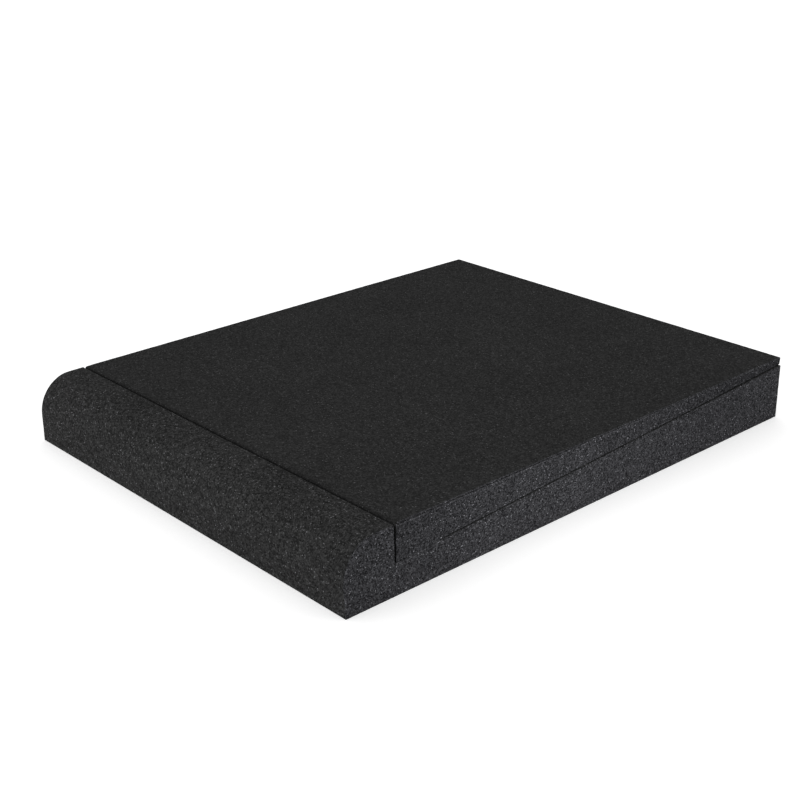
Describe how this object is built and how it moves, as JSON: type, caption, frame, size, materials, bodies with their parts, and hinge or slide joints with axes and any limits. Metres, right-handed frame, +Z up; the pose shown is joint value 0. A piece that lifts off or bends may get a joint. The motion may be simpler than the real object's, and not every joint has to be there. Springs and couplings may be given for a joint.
{
  "type": "speaker isolation pad",
  "caption": "Foam pad that stands under a studio monitor: a stepped base with a round-nosed front lip, and a loose wedge that fills its recess level.",
  "frame": {"origin": "middle of the underside of the base", "axes": "+X across the width of the pad, +Y from the front lip towards the rear, +Z up"},
  "size_m": [0.266, 0.33, 0.037],
  "materials": {
    "base_foam": "matte, porous cut foam",
    "wedge_foam": "matte, porous cut foam"
  },
  "bodies": {
    "root": {"base": "base_foam", "wedge_insert": "wedge_foam"}
  },
  "joints": []
}
